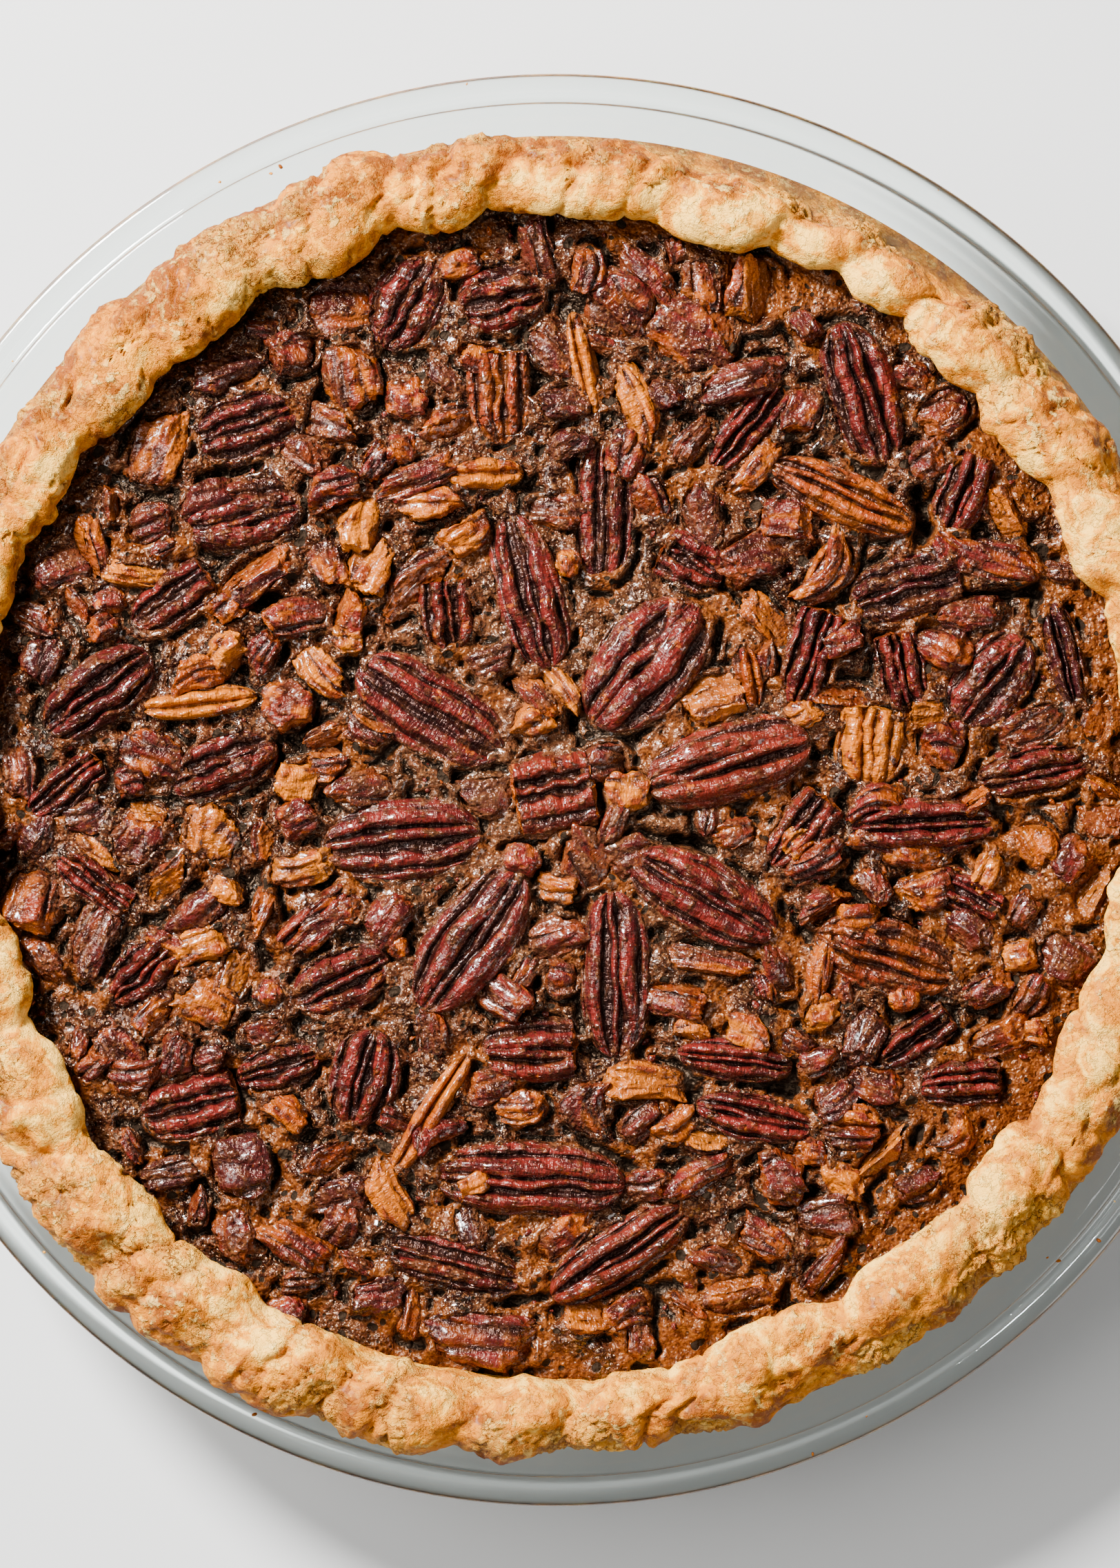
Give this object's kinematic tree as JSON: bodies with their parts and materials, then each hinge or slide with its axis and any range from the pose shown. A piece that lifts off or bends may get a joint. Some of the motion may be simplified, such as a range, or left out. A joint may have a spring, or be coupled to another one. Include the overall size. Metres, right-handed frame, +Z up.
{
  "type": "pecan pie",
  "caption": "Whole pecan pie in a clear glass pie dish: twisted rope crust, caramel filling and a flower of pecan halves in the middle.",
  "frame": {"origin": "centre of the dish's foot, on the surface it stands on", "axes": "+Z up out of the pie, +X and +Y across the dish; seen from above with +Y away from the viewer"},
  "size_m": [0.24, 0.24, 0.0443],
  "materials": {
    "clear_glass": "clear and glossy",
    "baked_pastry": "dry, flaky, browned on its high spots",
    "caramel_filling": "baked caramel with fine bubbles, glossy",
    "pecan_skin": "grooved skin with a syrup glaze",
    "pecan_flesh": "pale broken flesh, syrup-stained"
  },
  "bodies": {
    "root": {"glass_dish": "clear_glass", "pastry_case": "baked_pastry", "pecan_chunk_01": "pecan_skin", "pecan_end_01": "pecan_skin", "pecan_end_02": "pecan_skin", "pecan_end_03": "pecan_skin", "pecan_end_04": "pecan_skin", "pecan_end_05": "pecan_skin", "pecan_end_06": "pecan_skin", "pecan_end_07": "pecan_skin", "pecan_end_08": "pecan_skin", "pecan_end_09": "pecan_skin", "pecan_end_10": "pecan_skin", "pecan_end_11": "pecan_skin", "pecan_end_12": "pecan_skin", "pecan_end_13": "pecan_skin", "pecan_end_14": "pecan_skin", "pecan_end_15": "pecan_skin", "pecan_end_16": "pecan_skin", "pecan_end_17": "pecan_skin", "pecan_end_18": "pecan_skin", "pecan_end_19": "pecan_skin", "pecan_filling": "caramel_filling", "pecan_glazed_01": "pecan_skin", "pecan_glazed_02": "pecan_skin", "pecan_glazed_03": "pecan_skin", "pecan_glazed_04": "pecan_skin", "pecan_glazed_05": "pecan_skin", "pecan_glazed_06": "pecan_skin", "pecan_glazed_07": "pecan_skin", "pecan_glazed_08": "pecan_skin", "pecan_glazed_09": "pecan_skin", "pecan_glazed_10": "pecan_skin", "pecan_glazed_11": "pecan_skin", "pecan_glazed_12": "pecan_skin", "pecan_half_01": "pecan_skin", "pecan_half_02": "pecan_skin", "pecan_half_03": "pecan_skin", "pecan_half_04": "pecan_skin", "pecan_half_05": "pecan_skin", "pecan_half_06": "pecan_skin", "pecan_half_07": "pecan_skin", "pecan_half_08": "pecan_skin", "pecan_half_09": "pecan_skin", "pecan_half_10": "pecan_skin", "pecan_half_11": "pecan_skin", "pecan_half_12": "pecan_skin", "pecan_half_13": "pecan_skin", "pecan_half_14": "pecan_skin", "pecan_half_15": "pecan_skin", "pecan_half_16": "pecan_skin", "pecan_half_17": "pecan_skin", "pecan_half_18": "pecan_skin", "pecan_sliver_01": "pecan_flesh", "pecan_sliver_02": "pecan_flesh", "pecan_sliver_03": "pecan_flesh", "pecan_sliver_04": "pecan_flesh", "pecan_sliver_05": "pecan_flesh", "pecan_sliver_06": "pecan_flesh", "pecan_sliver_07": "pecan_flesh"}
  },
  "joints": []
}
